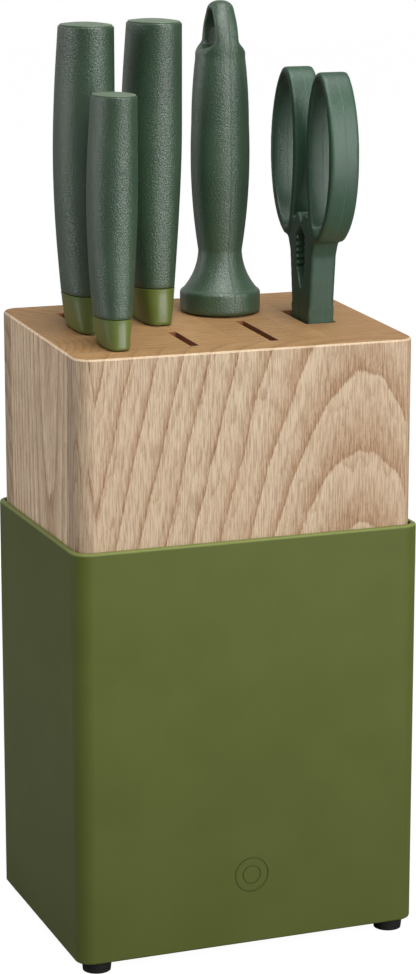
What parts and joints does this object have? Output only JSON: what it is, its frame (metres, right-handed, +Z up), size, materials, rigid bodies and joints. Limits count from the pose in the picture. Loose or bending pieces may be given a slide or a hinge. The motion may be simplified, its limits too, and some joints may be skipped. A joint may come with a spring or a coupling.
{
  "type": "knife block with knives",
  "caption": "Upright kitchen knife block: moulded shell, glued ash top with slots, pull-out knives, sharpening steel and kitchen shears that open.",
  "frame": {"origin": "centre of the block's footprint, on the surface that its four feet stand on", "axes": "+Z up, -Y towards the front with the pressed ring, +X to the right"},
  "size_m": [0.15, 0.1106, 0.3885],
  "materials": {
    "shell_olive": "satin moulded plastic, olive green",
    "base_black": "plain moulded plastic",
    "foot_rubber": "soft rubber",
    "screw_zinc": "zinc plated",
    "ash_face": "oiled ash, flat-sawn face",
    "ash_stave": "oiled ash, glued staves",
    "blade_steel": "fine ground",
    "ferrule_olive": "satin",
    "grip_green": "fine grained, dark green",
    "cap_green": "smooth satin, grey green",
    "rod_chrome": "fine grooves along its length",
    "shears_green": "fine grained, dark green"
  },
  "bodies": {
    "block": {"shell": "shell_olive", "base_plate": "base_black", "foot_front_left": "foot_rubber", "foot_front_right": "foot_rubber", "foot_back_left": "foot_rubber", "foot_back_right": "foot_rubber", "foot_screws": "screw_zinc", "top_screws": "screw_zinc", "wood_front_board": "ash_face", "wood_back_board": "ash_stave", "wood_stave_left": "ash_stave", "wood_stave_second": "ash_stave", "wood_stave_third": "ash_stave", "wood_slot_side_left": "ash_stave", "wood_slot_side_right": "ash_stave", "wood_steel_stave": "ash_stave", "wood_stave_fourth": "ash_stave", "wood_stave_right": "ash_stave", "slot_divider_left": "ash_stave", "slot_divider_middle": "ash_stave", "shears_slot_front_block": "ash_stave", "shears_slot_back_block": "ash_stave", "shears_slot_floor": "ash_stave"},
    "chef_knife": {"chef_blade": "blade_steel", "chef_ferrule": "ferrule_olive", "chef_grip": "grip_green", "chef_end_cap": "cap_green"},
    "slicing_knife": {"slicer_blade": "blade_steel", "slicer_ferrule": "ferrule_olive", "slicer_grip": "grip_green", "slicer_end_cap": "cap_green"},
    "paring_knife": {"paring_blade": "blade_steel", "paring_ferrule": "ferrule_olive", "paring_grip": "grip_green", "paring_end_cap": "cap_green"},
    "sharpening_steel": {"steel_rod": "rod_chrome", "steel_handle": "grip_green"},
    "shears_pivot": {"shears_pivot_screw": "screw_zinc", "shears_pivot_nut": "screw_zinc"},
    "shears_front_half": {"shears_front_blade": "blade_steel", "shears_front_handle": "shears_green"},
    "shears_back_half": {"shears_back_blade": "blade_steel", "shears_back_handle": "shears_green"}
  },
  "joints": [
    {"name": "chef_knife_lift", "type": "slide", "parent": "block", "child": "chef_knife", "axis": [0, 0, 1], "range_m": [0, 0.22]},
    {"name": "slicing_knife_lift", "type": "slide", "parent": "block", "child": "slicing_knife", "axis": [0, 0, 1], "range_m": [0, 0.2]},
    {"name": "paring_knife_lift", "type": "slide", "parent": "block", "child": "paring_knife", "axis": [0, 0, 1], "range_m": [0, 0.12]},
    {"name": "steel_lift", "type": "slide", "parent": "block", "child": "sharpening_steel", "axis": [0, 0, 1], "range_m": [0, 0.25]},
    {"name": "shears_lift", "type": "slide", "parent": "block", "child": "shears_pivot", "axis": [0, 0, 1], "range_m": [0, 0.26]},
    {"name": "shears_front_open", "type": "hinge", "parent": "shears_pivot", "child": "shears_front_half", "pos_m": [0.0472, -0.0039, 0.23922], "axis": [1, 0, 0], "range_deg": [0, 22.5]},
    {"name": "shears_back_open", "type": "hinge", "parent": "shears_pivot", "child": "shears_back_half", "pos_m": [0.0472, -0.0039, 0.23922], "axis": [-1, 0, 0], "range_deg": [0, 22.5]}
  ],
  "couplings": [
    {"joint": "shears_front_open", "follows": "shears_lift", "rad_per_m": 1.4835},
    {"joint": "shears_back_open", "follows": "shears_lift", "rad_per_m": 1.4835}
  ]
}
